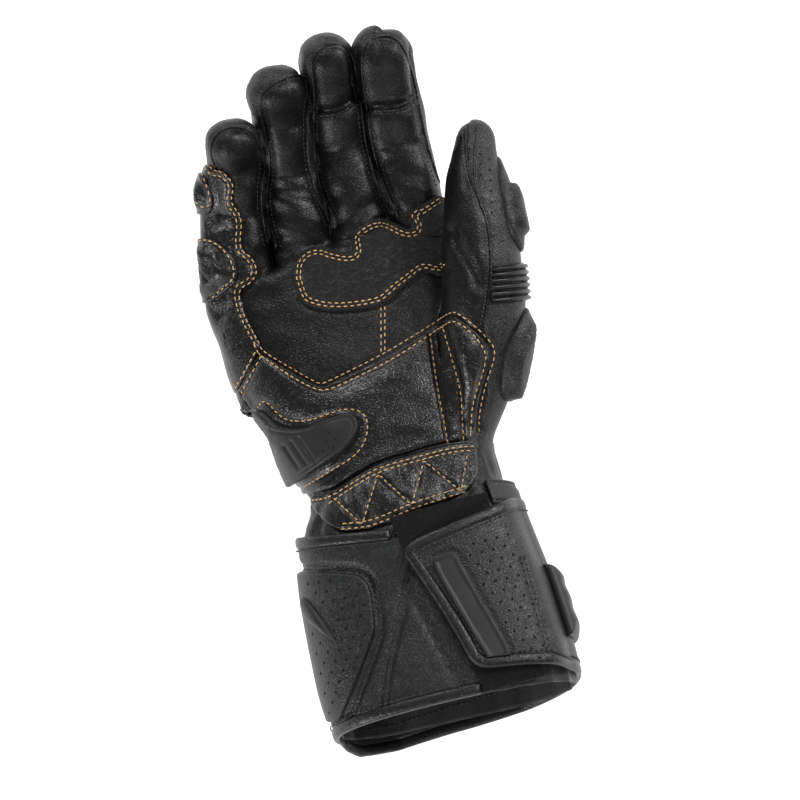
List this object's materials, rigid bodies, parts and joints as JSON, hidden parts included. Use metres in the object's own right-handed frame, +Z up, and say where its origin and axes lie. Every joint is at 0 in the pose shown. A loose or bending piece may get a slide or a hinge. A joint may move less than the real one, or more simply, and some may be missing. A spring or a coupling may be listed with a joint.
{
  "type": "motorcycle glove",
  "caption": "Leather gauntlet riding glove lying palm up, with padded palm overlays, moulded guards, a wrist strap and a wrap-over cuff closure",
  "frame": {"origin": "on the surface the glove lies on, under the middle of its box", "axes": "+X to the thumb side, +Y from the cuff to the fingertips, +Z up out of the palm; the back of the hand is underneath"},
  "size_m": [0.1418, 0.298, 0.0696],
  "materials": {
    "grain_leather": "black goat-style leather with a fine pebble grain and soft highlights",
    "matte_leather": "black leather with a flatter, more matte grain, perforated in places",
    "grip_suede": "rough black suede-like grip leather",
    "moulded_rubber": "matte charcoal moulded rubber and plastic",
    "stretch_ribs": "ribbed stretch leather",
    "hook_loop": "black loop fastener, fuzzy"
  },
  "bodies": {
    "root": {"palm_leather": "grain_leather", "back_leather": "matte_leather", "index_front": "grain_leather", "index_tip_front": "grain_leather", "index_back": "matte_leather", "middle_front": "grain_leather", "middle_tip_front": "grain_leather", "middle_back": "matte_leather", "ring_front": "grain_leather", "ring_back": "matte_leather", "little_front": "grain_leather", "little_back": "matte_leather", "thumb_front": "grain_leather", "thumb_back": "matte_leather", "thumb_tip_guard": "matte_leather", "thumb_knuckle_guard": "matte_leather", "thumb_stretch_ribs": "stretch_ribs", "palm_grip_patch": "grip_suede", "heel_panel": "grain_leather", "wrist_panel": "grain_leather", "palm_slider": "moulded_rubber", "little_side_panel": "grain_leather", "little_side_pad_upper": "grain_leather", "little_side_pad_lower": "grain_leather", "wrist_strap": "matte_leather", "cuff_back": "matte_leather", "cuff_front": "matte_leather", "cuff_loop_patch": "hook_loop", "cuff_side_pad": "matte_leather", "cuff_side_rib": "moulded_rubber", "cuff_guard": "moulded_rubber", "closure_flap": "matte_leather", "closure_badge": "moulded_rubber", "cuff_top_binding": "grain_leather", "cuff_front_hem_binding": "grain_leather", "cuff_back_hem_binding": "grain_leather", "closure_binding": "grain_leather"}
  },
  "joints": []
}
